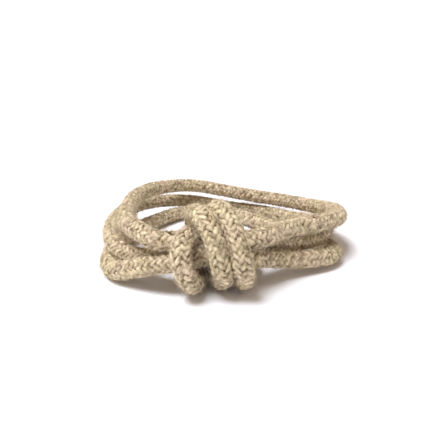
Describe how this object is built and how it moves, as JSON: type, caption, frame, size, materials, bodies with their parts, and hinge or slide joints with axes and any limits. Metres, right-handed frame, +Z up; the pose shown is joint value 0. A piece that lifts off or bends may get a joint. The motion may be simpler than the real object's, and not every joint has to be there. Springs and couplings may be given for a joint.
{
  "type": "saxophone ligature",
  "caption": "Cord ligature for a saxophone mouthpiece: loose turns of braided natural cord bound at the front by a wrap knot, with the upper turns free to fan open.",
  "frame": {"origin": "middle of the footprint, on the surface the ligature stands on", "axes": "+Z up through the turns, along the mouthpiece; the wrap knot faces -Y; +Y to the back of the turns"},
  "size_m": [0.0374, 0.041, 0.011],
  "materials": {
    "cord": "matte, fuzzy braided plant fibre",
    "cord_inside_knot": "matte braided plant fibre, in the knot's shade"
  },
  "bodies": {
    "knot": {"cord_start": "cord_inside_knot", "bottom_turn": "cord", "lower_crossing": "cord_inside_knot", "upper_crossing": "cord_inside_knot", "core_strand": "cord_inside_knot", "right_wrap": "cord", "middle_wrap": "cord", "left_wrap": "cord", "cord_tail": "cord"},
    "top": {"top_turn": "cord"},
    "middle": {"middle_turn": "cord"}
  },
  "joints": [
    {"name": "top_fan", "type": "hinge", "parent": "knot", "child": "top", "pos_m": [-0.00285, -0.01607, 0.00641], "axis": [1, 0, 0], "range_deg": [0, 35]},
    {"name": "middle_fan", "type": "hinge", "parent": "knot", "child": "middle", "pos_m": [-0.00215, -0.01307, 0.00461], "axis": [0.9802, 0.14, 0.14], "range_deg": [0, 17.5]}
  ],
  "couplings": [
    {"joint": "middle_fan", "follows": "top_fan", "ratio": 0.5}
  ]
}
